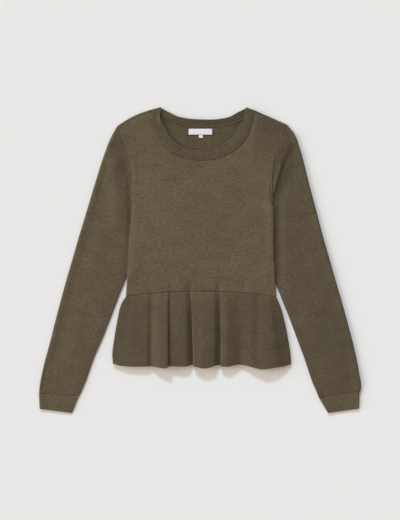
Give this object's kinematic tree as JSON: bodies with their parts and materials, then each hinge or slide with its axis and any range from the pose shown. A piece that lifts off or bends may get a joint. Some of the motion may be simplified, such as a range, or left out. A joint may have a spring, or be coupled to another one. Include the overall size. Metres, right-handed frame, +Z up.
{
  "type": "crew neck sweater",
  "caption": "Long-sleeved knitted crew neck sweater with a gathered peplum, laid flat on its back.",
  "frame": {"origin": "on the floor, in the middle of the sweater's length and width as it lies", "axes": "+X across the sweater, from the left of the picture to its right; +Y from the hem to the neck; +Z up off the floor, towards the camera"},
  "size_m": [0.675, 0.6417, 0.0195],
  "materials": {
    "olive_knit": "matt fine jersey knit, dark olive brown",
    "olive_rib": "matt fine one by one rib, dark olive brown",
    "white_label": "woven satin tape, white, blank"
  },
  "bodies": {
    "root": {"front_panel": "olive_knit", "back_panel": "olive_knit", "sleeve_left": "olive_knit", "sleeve_right": "olive_knit", "peplum_front": "olive_knit", "peplum_back": "olive_knit", "cuff_left": "olive_rib", "cuff_right": "olive_rib", "neckband": "olive_rib", "neck_label": "white_label", "size_tab": "white_label"}
  },
  "joints": []
}
